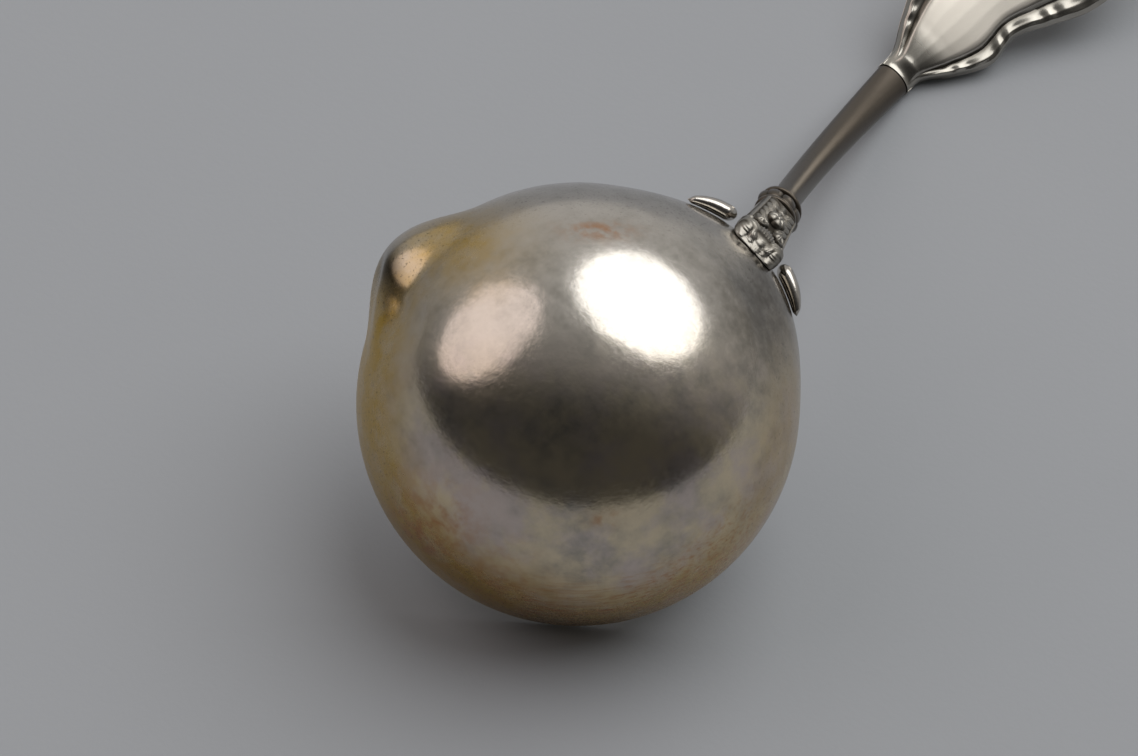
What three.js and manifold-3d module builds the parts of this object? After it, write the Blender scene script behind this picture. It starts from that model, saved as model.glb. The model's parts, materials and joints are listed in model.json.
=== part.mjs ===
// Cream ladle in silver: a raised round bowl with a pouring lip, and a cast and struck handle.
// Millimetres. The ladle is drawn in its own frame first: the middle of the rim is the origin,
// X points to the handle and Z out of the bowl's mouth. It is then laid on the table, mouth down.

import * as THREE from 'three';
import { mergeVertices } from 'three/addons/utils/BufferGeometryUtils.js';
import Module from 'manifold-3d';

const wasm = await Module();
wasm.setup();

// The clearance between two pieces that meet at a soldered joint.
const SEAM = 0.3;

// Bowl
const BOWL_RADIUS = 24;
const BOWL_WALL = 0.65;

// Where the wall is hammered out at the rim: the pouring lip, and the swell that meets the handle.
// The reach at the middle, the angle round the rim, the half width in degrees, and the angles from
// the bowl's pole between which it rises.
const POURING_LIP = { reach: 2.7, turn: -98, halfAngle: 24.5, starts: 57, full: 82 };
const HANDLE_SWELL = { reach: 1.65, turn: 3, halfAngle: 44, starts: 62, full: 90 };

// Handle line: arcs one after the other, each with a length and the slope to the rim plane at its end.
const FOOT_AWAY = 1.25;
const FOOT_DEPTH = 3.5;
const FOOT_SLOPE = 73;
const SHOULDER_RUN = { length: 19.2, slope: 72 };
const STEM_RUN = { length: 45.5, slope: 44 };
const BEND_RUN = { length: 4, slope: 11 };
const BLADE_RUN = { length: 54, slope: 12 };
const HANDLE_RUNS = [SHOULDER_RUN, STEM_RUN, BEND_RUN, BLADE_RUN];

// Shoulder plate, half widths and half thicknesses
const FOOT_HALF_WIDTH = 1.6;
const RIM_HALF_WIDTH = 2.9;
const NECK_HALF_WIDTH = 2.4;
const FOOT_HALF_THICKNESS = 0.6;
const RIM_HALF_THICKNESS = 0.95;
const NECK_HALF_THICKNESS = 1.7;

// Knop and collars, round the tang of the stem
const KNOP_HALF_WIDTH = 2.9;
const KNOP_HALF_THICKNESS = 2.1;
const KNOP_LENGTH = 3.2;
const KNOP_LOBES = 8;
const KNOP_LOBE_DEPTH = 0.22;
const COLLAR_HALF_WIDTH = 2.65;
const COLLAR_HALF_THICKNESS = 2.1;
const COLLAR_LENGTH = 0.9;
const COLLAR_ROUNDING = 0.25;
const KNOP_ROUNDING = 0.4;

// Stem, its tang through the knop and its tongue between the shells
const STEM_START_HALF_WIDTH = 1.7;
const STEM_END_HALF_WIDTH = 2.3;
const STEM_START_HALF_THICKNESS = 1.4;
const STEM_END_HALF_THICKNESS = 1.35;
const TANG_HALF_WIDTH = 1.1;
const TANG_HALF_THICKNESS = 0.9;
const TANG_DEPTH = 6;
const TONGUE_HALF_WIDTH = 0.9;
const TONGUE_HALF_THICKNESS = 0.42;
const TONGUE_LENGTH = 24;

// Handle end: half widths of its outline, each at a distance from its neck
const BLADE_OUTLINE = [
  { at: 0, half: 2.4 },
  { at: 2.6, half: 2.5 },
  { at: 6.5, half: 4.8 },
  { at: 11, half: 6.9 },
  { at: 16, half: 6.5 },
  { at: 20, half: 8.2 },
  { at: 26, half: 10.6 },
  { at: 32, half: 10.7 },
  { at: 39, half: 8.4 },
  { at: 46, half: 7.4 },
  { at: 52, half: 5.6 },
  { at: 57.4, half: 2.2 },
];
const NECK_LENGTH = 7;
const TIP_LENGTH = 9;
const NECK_CROWN = 1.35;
const BACK_CROWN = 1.8;
const FRONT_CROWN = 1.9;
const TIP_CROWN = 0.9;
const SHELL_EDGE = 0.55;
const SHELL_WALL = 1.5;
const SEAT_SHARE = 0.97;
// The struck relief across a shell: height as a share of the crown, at a share of the half width.
const RELIEF = [
  { share: 0, height: 1 },
  { share: 0.26, height: 0.96 },
  { share: 0.52, height: 0.84 },
  { share: 0.68, height: 0.5 },
  { share: 0.86, height: 0.66 },
  { share: 1, height: 0 },
];
const HOLLOW_SHARES = [0, 0.25, 0.5, 0.66];

// Cast ornaments
const LEAF_LENGTH = 5;
const LEAF_RADIUS = 0.85;
const LEAF_TIP_RADIUS = 0.3;
const LEAF_TAPER = 1.6;
const LEAF_BLUNT = 0.8;
const LEAF_BLUNT_LENGTH = 1.4;
const LEAF_HEIGHT_TO_THICKNESS = 1.5;
const LEAF_TOP = 0.6;
const LEAF_DROP = 1.4;
const PETALS = 5;
const BLOSSOM_HEIGHT = 0.6;
const PETAL_DEPTH = 0.16;
const BLOSSOM_DOME = [
  { share: 1, height: 0 },
  { share: 1, height: 0.35 },
  { share: 0.8, height: 0.75 },
  { share: 0.35, height: 1 },
];
const SHELL_PETAL = { beforeNeck: 13.4, sideways: 0, radius: 1.35 };
const SIDE_BLOSSOM = { beforeNeck: 10.6, sideways: 1.4, radius: 1.1 };
const UPPER_BLOSSOM = { beforeNeck: 6.6, sideways: 0, radius: 1.35 };

// How finely the curved surfaces are divided
const BOWL_SEGMENTS = 72;
const BOWL_RINGS = 13;
const SHOULDER_SEGMENTS = 16;
const SHOULDER_STEPS = 14;
const STEM_SEGMENTS = 14;
const STEM_STEPS = 9;
const BEND_STEPS = 7;
const BLADE_STEP = 2.1;
const COLLAR_SEGMENTS = 20;
const SEGMENTS_PER_LOBE = 4;
const RING_PROFILE_POINTS = 5;
const LEAF_SEGMENTS = 10;
const LEAF_STEPS = 8;
const CURVE_POINTS_PER_STEP = 12;

// How the ladle lies: the slope of its rim plane, and where round the rim its lowest point is
const LYING_TILT = 41;
const LOWEST_TURN = 136.4;
const LYING_HEADING = 90;

const degrees = THREE.MathUtils.degToRad;
const lerp = THREE.MathUtils.lerp;
const smooth = THREE.MathUtils.smoothstep;

const silver = (color, roughness) => new THREE.MeshStandardMaterial({ color, roughness, metalness: 1 });

// A closed body from a grid of rings, capped at both ends or joined end to end.
function bodyFromRings(rings, endless = false) {
  const count = rings[0].length;
  const points = rings.flat();
  const triangles = [];
  const spans = endless ? rings.length : rings.length - 1;
  for (let i = 0; i < spans; i++) {
    const near = i * count;
    const far = ((i + 1) % rings.length) * count;
    for (let j = 0; j < count; j++) {
      const next = (j + 1) % count;
      triangles.push(near + j, near + next, far + next, near + j, far + next, far + j);
    }
  }
  if (!endless) {
    const cap = (ring, first, forwards) => {
      const middle = points.length;
      points.push(ring.reduce((sum, p) => sum.add(p), new THREE.Vector3()).divideScalar(count));
      for (let j = 0; j < count; j++) {
        const next = (j + 1) % count;
        triangles.push(middle, first + (forwards ? j : next), first + (forwards ? next : j));
      }
    };
    cap(rings[0], 0, false);
    cap(rings.at(-1), (rings.length - 1) * count, true);
  }
  return facingOut(points, triangles);
}

// The geometry of the triangles, turned round if their volume comes out negative.
function facingOut(points, triangles) {
  let volume = 0;
  for (let i = 0; i < triangles.length; i += 3) {
    const [a, b, c] = [points[triangles[i]], points[triangles[i + 1]], points[triangles[i + 2]]];
    volume += a.dot(new THREE.Vector3().crossVectors(b, c));
  }
  const geometry = new THREE.BufferGeometry().setFromPoints(points);
  geometry.setIndex(volume < 0 ? triangles.slice().reverse() : triangles);
  return mergeVertices(geometry, 1e-5);
}

// The first shape with the second one cut away.
function cut(shape, tool) {
  const solid = (geometry) => {
    const bare = geometry.clone();
    bare.deleteAttribute('normal');
    bare.deleteAttribute('uv');
    const merged = mergeVertices(bare, 1e-5);
    return new wasm.Manifold(new wasm.Mesh({
      numProp: 3,
      vertProperties: merged.attributes.position.array,
      triVerts: new Uint32Array(merged.index.array),
    }));
  };
  const result = solid(shape).subtract(solid(tool)).getMesh();
  const geometry = new THREE.BufferGeometry();
  geometry.setAttribute('position', new THREE.BufferAttribute(new Float32Array(result.vertProperties), 3));
  geometry.setIndex(new THREE.BufferAttribute(new Uint32Array(result.triVerts), 1));
  return geometry;
}

// The point of the handle line at a distance from its foot, with the slope there.
// Along an arc the slope changes evenly, so the point follows from the sines and cosines of its ends.
function handleAt(distance) {
  let x = BOWL_RADIUS + FOOT_AWAY;
  let z = -FOOT_DEPTH;
  let slope = degrees(FOOT_SLOPE);
  let left = distance;
  for (const [i, run] of HANDLE_RUNS.entries()) {
    const last = i === HANDLE_RUNS.length - 1;
    const step = last ? left : Math.min(left, run.length);
    const bend = (degrees(run.slope) - slope) / run.length;
    const end = slope + bend * step;
    x += (Math.sin(end) - Math.sin(slope)) / bend;
    z += (Math.cos(slope) - Math.cos(end)) / bend;
    slope = end;
    left -= step;
    if (left <= 0) break;
  }
  return { point: new THREE.Vector3(x, 0, z), slope };
}

// A point beside the handle line: sideways along Y, and towards the front of the handle.
function besideHandle(distance, sideways, frontwards) {
  const { point, slope } = handleAt(distance);
  return new THREE.Vector3(
    point.x - Math.sin(slope) * frontwards,
    sideways,
    point.z + Math.cos(slope) * frontwards,
  );
}

// An oval section across the handle line.
function ovalRing(distance, halfWidth, halfThickness, count) {
  return Array.from({ length: count }, (_, j) => {
    const turn = (2 * Math.PI * j) / count;
    return besideHandle(distance, halfWidth * Math.cos(turn), halfThickness * Math.sin(turn));
  });
}

// How far a hammered place stands out of the round bowl, at an angle round it and one from its pole.
function hammeredOut({ reach, turn, halfAngle, starts, full }, atTurn, fromPole) {
  const away = THREE.MathUtils.euclideanModulo(atTurn - turn + 180, 360) - 180;
  if (Math.abs(away) >= halfAngle) return 0;
  return reach * Math.cos((degrees(90) * away) / halfAngle) ** 2 * smooth(fromPole, starts, full);
}

// How far the bowl's wall reaches from the middle of the rim.
function wallReach(radius, turn, fromPole) {
  return radius + hammeredOut(POURING_LIP, turn, fromPole) + hammeredOut(HANDLE_SWELL, turn, fromPole);
}

// Rings round the bowl at one distance from its inside or outside, from near the pole to the rim.
function bowlRings(radius) {
  return Array.from({ length: BOWL_RINGS }, (_, i) => {
    const fromPole = (90 * (i + 1)) / BOWL_RINGS;
    return Array.from({ length: BOWL_SEGMENTS }, (_, j) => {
      const turn = (360 * j) / BOWL_SEGMENTS;
      const reach = wallReach(radius, turn, fromPole);
      return new THREE.Vector3(
        reach * Math.sin(degrees(fromPole)) * Math.cos(degrees(turn)),
        reach * Math.sin(degrees(fromPole)) * Math.sin(degrees(turn)),
        -reach * Math.cos(degrees(fromPole)),
      );
    });
  });
}

// Bowl: a half sphere of sheet silver, hammered out at two places, its rim filed flat.
function bowl() {
  return bodyFromRings([...bowlRings(BOWL_RADIUS), ...bowlRings(BOWL_RADIUS - BOWL_WALL).reverse()]);
}

// The room that a piece on the bowl's outside leaves for it, with the seam.
function bowlRoom() {
  const rings = bowlRings(BOWL_RADIUS + SEAM);
  const overRim = rings.at(-1).map((p) => p.clone().setZ(SEAM));
  return bodyFromRings([...rings, overRim]);
}

// Distances along the handle line, from the foot of the shoulder to the neck of the handle end
const KNOP_AT = SHOULDER_RUN.length;
const KNOP_START = KNOP_AT - KNOP_LENGTH / 2;
const KNOP_STOP = KNOP_AT + KNOP_LENGTH / 2;
const LOWER_COLLAR_START = KNOP_START - SEAM - COLLAR_LENGTH;
const UPPER_COLLAR_START = KNOP_STOP + SEAM;
const SHOULDER_STOP = LOWER_COLLAR_START - SEAM;
const STEM_START = UPPER_COLLAR_START + COLLAR_LENGTH + SEAM;
const STEM_STOP = SHOULDER_RUN.length + STEM_RUN.length;
const BLADE_START = STEM_STOP + SEAM;

const shoulderHalfWidth = (distance) => distance < FOOT_DEPTH
  ? lerp(FOOT_HALF_WIDTH, RIM_HALF_WIDTH, smooth(distance, 0, FOOT_DEPTH))
  : lerp(RIM_HALF_WIDTH, NECK_HALF_WIDTH, smooth(distance, FOOT_DEPTH, SHOULDER_STOP));
const shoulderHalfThickness = (distance) => distance < FOOT_DEPTH
  ? lerp(FOOT_HALF_THICKNESS, RIM_HALF_THICKNESS, smooth(distance, 0, FOOT_DEPTH))
  : lerp(RIM_HALF_THICKNESS, NECK_HALF_THICKNESS, smooth(distance, FOOT_DEPTH, SHOULDER_STOP));

// Shoulder plate: the casting that stands on the bowl's wall, with the socket for the tang.
function shoulderPlate() {
  const rings = Array.from({ length: SHOULDER_STEPS + 1 }, (_, i) => {
    const distance = (SHOULDER_STOP * i) / SHOULDER_STEPS;
    return ovalRing(
      distance, shoulderHalfWidth(distance), shoulderHalfThickness(distance), SHOULDER_SEGMENTS);
  });
  const socketStart = SHOULDER_STOP - TANG_DEPTH - SEAM;
  const socketMiddle = (socketStart + SHOULDER_STOP) / 2;
  const socket = bodyFromRings([socketStart, socketMiddle, SHOULDER_STOP + SEAM].map((distance) => ovalRing(
    distance, TANG_HALF_WIDTH + SEAM, TANG_HALF_THICKNESS + SEAM, SHOULDER_SEGMENTS)));
  return cut(cut(bodyFromRings(rings), bowlRoom()), socket);
}

// A ring threaded on the tang: its outside is drawn in at both ends, and its bore is the tang's.
function threadedRing(start, length, rounding, halfSizes, count) {
  const outer = Array.from({ length: RING_PROFILE_POINTS }, (_, i) => {
    const along = i / (RING_PROFILE_POINTS - 1);
    const drawnIn = rounding * (2 * along - 1) ** 2;
    return Array.from({ length: count }, (_, j) => {
      const turn = (2 * Math.PI * j) / count;
      const { width, thickness } = halfSizes(turn);
      return besideHandle(start + along * length,
        (width - drawnIn) * Math.cos(turn), (thickness - drawnIn) * Math.sin(turn));
    });
  });
  const boreRing = (distance) =>
    ovalRing(distance, TANG_HALF_WIDTH + SEAM, TANG_HALF_THICKNESS + SEAM, count);
  return bodyFromRings([...outer, boreRing(start + length), boreRing(start)], true);
}

function collar(start) {
  const halfSizes = () => ({ width: COLLAR_HALF_WIDTH, thickness: COLLAR_HALF_THICKNESS });
  return threadedRing(start, COLLAR_LENGTH, COLLAR_ROUNDING, halfSizes, COLLAR_SEGMENTS);
}

// Knop: a berry of lobes side by side.
function knop() {
  const halfSizes = (turn) => {
    const lobe = KNOP_LOBE_DEPTH * (1 - Math.abs(Math.cos((KNOP_LOBES * turn) / 2)));
    return { width: KNOP_HALF_WIDTH - lobe, thickness: KNOP_HALF_THICKNESS - lobe };
  };
  return threadedRing(
    KNOP_START, KNOP_LENGTH, KNOP_ROUNDING, halfSizes, KNOP_LOBES * SEGMENTS_PER_LOBE);
}

// Distances from the start of the bend up to a length: close together in the bend, wider beyond it.
function stationsTo(length) {
  const inBend = Array.from({ length: BEND_STEPS }, (_, i) => (BEND_RUN.length * i) / BEND_STEPS);
  const steps = Math.round((length - BEND_RUN.length) / BLADE_STEP);
  const beyond = Array.from({ length: steps + 1 }, (_, i) => lerp(BEND_RUN.length, length, i / steps));
  return [...inBend, ...beyond];
}

// Stem: a tapering rod, with the tang below it and the flat tongue above it.
function stem() {
  const tangStart = SHOULDER_STOP - TANG_DEPTH;
  const tang = [tangStart, (tangStart + STEM_START) / 2, STEM_START].map(
    (distance) => ovalRing(distance, TANG_HALF_WIDTH, TANG_HALF_THICKNESS, STEM_SEGMENTS));
  const rod = Array.from({ length: STEM_STEPS + 1 }, (_, i) => ovalRing(
    lerp(STEM_START, STEM_STOP, i / STEM_STEPS),
    lerp(STEM_START_HALF_WIDTH, STEM_END_HALF_WIDTH, (i / STEM_STEPS) ** 2),
    lerp(STEM_START_HALF_THICKNESS, STEM_END_HALF_THICKNESS, i / STEM_STEPS),
    STEM_SEGMENTS));
  const tongue = stationsTo(TONGUE_LENGTH).map(
    (at) => ovalRing(STEM_STOP + at, TONGUE_HALF_WIDTH, TONGUE_HALF_THICKNESS, STEM_SEGMENTS));
  return bodyFromRings([...tang, ...rod, ...tongue]);
}

const BLADE_LENGTH = BLADE_OUTLINE.at(-1).at;

// Half width of the handle end, at a distance from its neck.
const bladeCurve = new THREE.SplineCurve(BLADE_OUTLINE.map(({ at, half }) => new THREE.Vector2(at, half)));
const bladePoints = bladeCurve.getPoints(BLADE_OUTLINE.length * CURVE_POINTS_PER_STEP);
function bladeHalfWidth(at) {
  const further = bladePoints.findIndex((p) => p.x >= at);
  if (further < 0) return bladePoints.at(-1).y;
  if (further === 0) return bladePoints[0].y;
  const [a, b] = [bladePoints[further - 1], bladePoints[further]];
  return lerp(a.y, b.y, (at - a.x) / (b.x - a.x));
}

// One struck shell of the handle end: a rolled border, a groove and a smooth raised panel,
// hollow behind, with room for the tongue. side is 1 for the front and -1 for the back.
function bladeShell(side, bladeCrown) {
  const bothSides = (shares) => [...shares.toReversed(), ...shares.slice(1).map((share) => -share)];
  const outerShares = bothSides(RELIEF.map(({ share }) => share));
  const hollowShares = bothSides(HOLLOW_SHARES).reverse();
  const reliefAt = (share) => {
    const next = Math.max(1, RELIEF.findIndex((step) => step.share >= Math.abs(share)));
    const [a, b] = [RELIEF[next - 1], RELIEF[next]];
    return lerp(a.height, b.height, (Math.abs(share) - a.share) / (b.share - a.share));
  };
  const rings = stationsTo(BLADE_LENGTH).map((at) => {
    const half = bladeHalfWidth(at);
    const spread = smooth(at, 0, NECK_LENGTH);
    const toTip = smooth(at, BLADE_LENGTH - TIP_LENGTH, BLADE_LENGTH);
    const crown = lerp(NECK_CROWN, lerp(bladeCrown, TIP_CROWN, toTip), spread);
    const depthAt = (share) => Math.max(
      SHELL_EDGE, crown * lerp(Math.sqrt(1 - share * share), reliefAt(share), spread));
    const hollowAt = (share) => {
      const room = Math.abs(share) * half <= TONGUE_HALF_WIDTH + SEAM ? TONGUE_HALF_THICKNESS + SEAM : 0;
      return Math.max(SEAM / 2, room, depthAt(share) - SHELL_WALL);
    };
    const place = (share, depth) => besideHandle(BLADE_START + at, share * half, side * depth);
    return [
      ...outerShares.map((share) => place(share, depthAt(share))),
      place(-SEAT_SHARE, SEAM / 2),
      ...hollowShares.map((share) => place(share, hollowAt(share))),
      place(SEAT_SHARE, SEAM / 2),
    ];
  });
  return bodyFromRings(rings);
}

// Scroll leaf: a plump leaf rolled along the rim beside the shoulder plate. side is 1 or -1.
function scrollLeaf(side) {
  const rings = Array.from({ length: LEAF_STEPS + 1 }, (_, i) => {
    const along = i / LEAF_STEPS;
    const beside = RIM_HALF_WIDTH + SEAM + along * LEAF_LENGTH;
    const turn = side * THREE.MathUtils.radToDeg(Math.asin(beside / BOWL_RADIUS));
    const fromBlunt = (along * LEAF_LENGTH) / LEAF_BLUNT_LENGTH;
    const rounding = Math.sqrt(1 - (LEAF_BLUNT * Math.max(0, 1 - fromBlunt)) ** 2);
    const thick = lerp(LEAF_RADIUS, LEAF_TIP_RADIUS, along ** LEAF_TAPER) * rounding;
    const away = wallReach(BOWL_RADIUS, turn, 90) + SEAM + thick;
    const height = LEAF_TOP - LEAF_DROP * along;
    return Array.from({ length: LEAF_SEGMENTS }, (_, j) => {
      const roll = (2 * Math.PI * j) / LEAF_SEGMENTS;
      const reach = away + thick * Math.cos(roll);
      const rise = thick * LEAF_HEIGHT_TO_THICKNESS * Math.sin(roll);
      return new THREE.Vector3(
        reach * Math.cos(degrees(turn)), reach * Math.sin(degrees(turn)), height + rise);
    });
  });
  return bodyFromRings(rings);
}

// Blossom: a low five-petalled dome that follows the back of the shoulder plate.
function blossom({ beforeNeck, sideways, radius }) {
  const count = PETALS * SEGMENTS_PER_LOBE;
  const rings = BLOSSOM_DOME.map(({ share, height }) => Array.from({ length: count }, (_, j) => {
    const turn = (2 * Math.PI * j) / count;
    const petal = 1 - PETAL_DEPTH * (1 - Math.abs(Math.cos((PETALS * turn) / 2)));
    const along = SHOULDER_STOP - beforeNeck + radius * share * petal * Math.sin(turn);
    const beside = sideways + radius * share * petal * Math.cos(turn);
    const face = shoulderHalfThickness(along) * Math.sqrt(1 - (beside / shoulderHalfWidth(along)) ** 2);
    return besideHandle(along, beside, -(face + SEAM + BLOSSOM_HEIGHT * height));
  }));
  return bodyFromRings(rings);
}

const pieces = {
  bowl: [bowl(), silver(0x8a8478, 0.28)],
  shoulder_plate: [shoulderPlate(), silver(0x77736a, 0.38)],
  left_scroll_leaf: [scrollLeaf(-1), silver(0xa39c8c, 0.25)],
  right_scroll_leaf: [scrollLeaf(1), silver(0xa39c8c, 0.25)],
  shell_petal: [blossom(SHELL_PETAL), silver(0x948e80, 0.3)],
  left_blossom: [blossom({ ...SIDE_BLOSSOM, sideways: -SIDE_BLOSSOM.sideways }), silver(0x948e80, 0.3)],
  right_blossom: [blossom(SIDE_BLOSSOM), silver(0x948e80, 0.3)],
  upper_blossom: [blossom(UPPER_BLOSSOM), silver(0x948e80, 0.3)],
  lower_collar: [collar(LOWER_COLLAR_START), silver(0x8f8a7f, 0.3)],
  knop: [knop(), silver(0x6f6a60, 0.35)],
  upper_collar: [collar(UPPER_COLLAR_START), silver(0x8f8a7f, 0.3)],
  stem: [stem(), silver(0x7a756b, 0.32)],
  terminal_back: [bladeShell(-1, BACK_CROWN), silver(0xb8b1a3, 0.3)],
  terminal_front: [bladeShell(1, FRONT_CROWN), silver(0xa09a8d, 0.33)],
};

const ladle = new THREE.Group();
for (const [name, [geometry, material]] of Object.entries(pieces)) {
  const mesh = new THREE.Mesh(geometry, material);
  mesh.name = name;
  ladle.add(mesh);
}

// The direction that points up from the table, seen from the ladle.
const tilt = degrees(LYING_TILT);
const up = new THREE.Vector3(
  -Math.sin(tilt) * Math.cos(degrees(LOWEST_TURN)),
  -Math.sin(tilt) * Math.sin(degrees(LOWEST_TURN)),
  -Math.cos(tilt),
);
ladle.quaternion.setFromUnitVectors(up, new THREE.Vector3(0, 0, 1));

// Turned on the table so that the handle runs away along Y, then stood on the table.
const laid = new THREE.Group();
laid.add(ladle);
const handleTip = handleAt(BLADE_START + BLADE_LENGTH).point.applyQuaternion(ladle.quaternion);
laid.rotation.z = degrees(LYING_HEADING) - Math.atan2(handleTip.y, handleTip.x);
const reach = new THREE.Box3().setFromObject(laid, true);
const middle = reach.getCenter(new THREE.Vector3());
laid.position.set(-middle.x, -middle.y, -reach.min.z);

const part = new THREE.Group();
part.add(laid);

export default part;
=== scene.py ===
import json

import bpy
import numpy as np
from mathutils import Matrix, Vector


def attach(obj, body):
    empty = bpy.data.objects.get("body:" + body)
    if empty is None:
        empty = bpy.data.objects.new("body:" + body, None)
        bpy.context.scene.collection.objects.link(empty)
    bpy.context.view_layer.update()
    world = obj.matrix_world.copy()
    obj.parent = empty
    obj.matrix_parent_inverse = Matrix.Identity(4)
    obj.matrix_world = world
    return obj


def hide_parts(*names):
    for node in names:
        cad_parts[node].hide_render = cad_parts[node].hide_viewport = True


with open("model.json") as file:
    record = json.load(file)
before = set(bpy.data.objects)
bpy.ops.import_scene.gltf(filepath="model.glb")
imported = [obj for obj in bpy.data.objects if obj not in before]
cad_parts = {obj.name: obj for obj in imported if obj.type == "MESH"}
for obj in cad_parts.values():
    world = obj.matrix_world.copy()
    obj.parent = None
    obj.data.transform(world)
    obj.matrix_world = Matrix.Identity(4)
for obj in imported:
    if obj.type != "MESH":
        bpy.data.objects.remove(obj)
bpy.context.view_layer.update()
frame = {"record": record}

bl_info = {
    "name": "Silver Cream Ladle",
    "version": (1, 0, 0),
    "blender": (4, 5, 0),
    "location": "3D View > Sidebar > Ladle",
    "description": "Builds the visible pieces of a silver cream ladle, its finish and its studio",
    "category": "Add Mesh",
}

MM = 0.001

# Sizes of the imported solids, in millimetres, in the ladle's own frame: the middle of the rim is
# the origin, X points to the handle and Z out of the bowl's mouth. Angles are in degrees.
BOWL_RADIUS = 24
BOWL_WALL = 0.65
SEAM = 0.3
HANDLE_SWELL = {"reach": 1.65, "turn": 3, "half_angle": 44, "starts": 62, "full": 90}
FOOT_AWAY = 1.25
FOOT_DEPTH = 3.5
FOOT_SLOPE = 73
SHOULDER_LENGTH = 19.2
STEM_LENGTH = 45.5
BEND_LENGTH = 4
BLADE_RUN_LENGTH = 54
HANDLE_RUNS = [(SHOULDER_LENGTH, 72), (STEM_LENGTH, 44), (BEND_LENGTH, 11), (BLADE_RUN_LENGTH, 12)]
FOOT_HALF = (1.6, 0.6)
RIM_HALF = (2.9, 0.95)
NECK_HALF = (2.4, 1.7)
KNOP_HALF = (2.9, 2.1)
KNOP_LENGTH = 3.2
KNOP_LOBES = 8
COLLAR_HALF = (2.65, 2.1)
COLLAR_LENGTH = 0.9
STEM_START_HALF = (1.7, 1.4)
STEM_END_HALF = (2.3, 1.35)
TANG_HALF = (1.1, 0.9)
TANG_DEPTH = 6
TONGUE_HALF = (0.9, 0.42)
TONGUE_LENGTH = 24
BLADE_OUTLINE = [
    (0, 2.4), (2.6, 2.5), (6.5, 4.8), (11, 6.9), (16, 6.5), (20, 8.2),
    (26, 10.6), (32, 10.7), (39, 8.4), (46, 7.4), (52, 5.6), (57.4, 2.2),
]
NECK_LENGTH = 7
TIP_LENGTH = 9
NECK_CROWN = 1.35
BACK_CROWN = 1.8
FRONT_CROWN = 1.9
TIP_CROWN = 0.9
SHELL_EDGE = 0.55
SHELL_WALL = 1.5
LEAF_LENGTH = 5
LEAF_RADIUS = 0.85
LEAF_TIP_RADIUS = 0.3
LEAF_HEIGHT_TO_THICKNESS = 1.5
LEAF_TOP = 0.6
LEAF_DROP = 1.4
PETALS = 5
BLOSSOM_HEIGHT = 0.6
SHELL_PETAL = (13.4, 0, 1.35)
SIDE_BLOSSOM = (10.6, 1.4, 1.1)
UPPER_BLOSSOM = (6.6, 0, 1.35)

KNOP_START = SHOULDER_LENGTH - KNOP_LENGTH / 2
KNOP_STOP = SHOULDER_LENGTH + KNOP_LENGTH / 2
LOWER_COLLAR_START = KNOP_START - SEAM - COLLAR_LENGTH
UPPER_COLLAR_START = KNOP_STOP + SEAM
SHOULDER_STOP = LOWER_COLLAR_START - SEAM
STEM_START = UPPER_COLLAR_START + COLLAR_LENGTH + SEAM
STEM_STOP = SHOULDER_LENGTH + STEM_LENGTH
BLADE_START = STEM_STOP + SEAM
BLADE_LENGTH = BLADE_OUTLINE[-1][0]

# Sizes of details that only the visual model has, in millimetres and degrees. Its pouring lip
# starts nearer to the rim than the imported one, and it leans and has a crease on one side. A lobe
# of the relief has its middle, its direction, its half length and its half width.
POURING_LIP = {"reach": 2.7, "turn": -98, "half_angle": 24.5, "starts": 66, "full": 78}
LIP_LEAN = 5
LIP_FOOT = (62, 88)
CREASE_DEPTH = 0.5
CREASE_TURNS = (0, 6.5, 7, 24)
CREASE_HEIGHTS = (50, 64, 84, 90)
LEAF_FULLNESS = 1.1
LEAF_TAPER = 2.8
LEAF_BLUNT_SHARE = 0.22
LEAF_GROOVE_AT = 222
LEAF_GROOVE_WIDTH = 0.16
FOOT_WIDTH = 3.12
FOOT_WIDE_TO = (4.5, 10)
FOOT_THICKNESS = 1.5
FOOT_THICK_TO = (2, 7)
FOOT_ROUNDING = 1.1
FOOT_FEATHER = 0.9
FOOT_LOBE_HEIGHT = 0.35
PLATE_SQUARENESS = 0.5
FOOT_LOBE = ((1.6, 2.05), 62, 1.35, 0.95)
BEAD_MIDDLES = [(3.9, 2.45), (4.75, 2.45)]
BEAD_HALF = (0.42, 0.4)
SCROLL_MIDDLES = [(6.9, 1.45), (8.7, 1.39), (10.5, 1.33), (12.3, 1.27), (14.1, 1.21)]
SCROLL = (35, 1.15, 0.65)
END_FAN = ((0.6, 0), 0, 0.85, 0.6)
END_SCROLL = ((0.75, 1.15), 30, 0.7, 0.45)
END_LOBE = ((0.65, 2.35), 90, 0.75, 0.8)
FLUTE_STEP = 0.36
KNOP_SQUARENESS = 2.2
KNOP_SWELL = 0.9
COLLAR_SQUARENESS = 2.5
COLLAR_SWELL = 0.35
PANEL_RISE = 0.75
BORDER_MIDDLE = 0.84
BORDER_SCROLL_STEP = 2.6

# The handle end's relief across its half width, as shares of the half width and of the crown
RELIEF_SHARES = [0, 0.26, 0.5, 0.6, 0.68, 0.76, 0.86, 0.94, 1]
RELIEF_HEIGHTS = [1, 0.98, 0.92, 0.84, 0.5, 0.58, 0.66, 0.5, 0.12]

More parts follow.
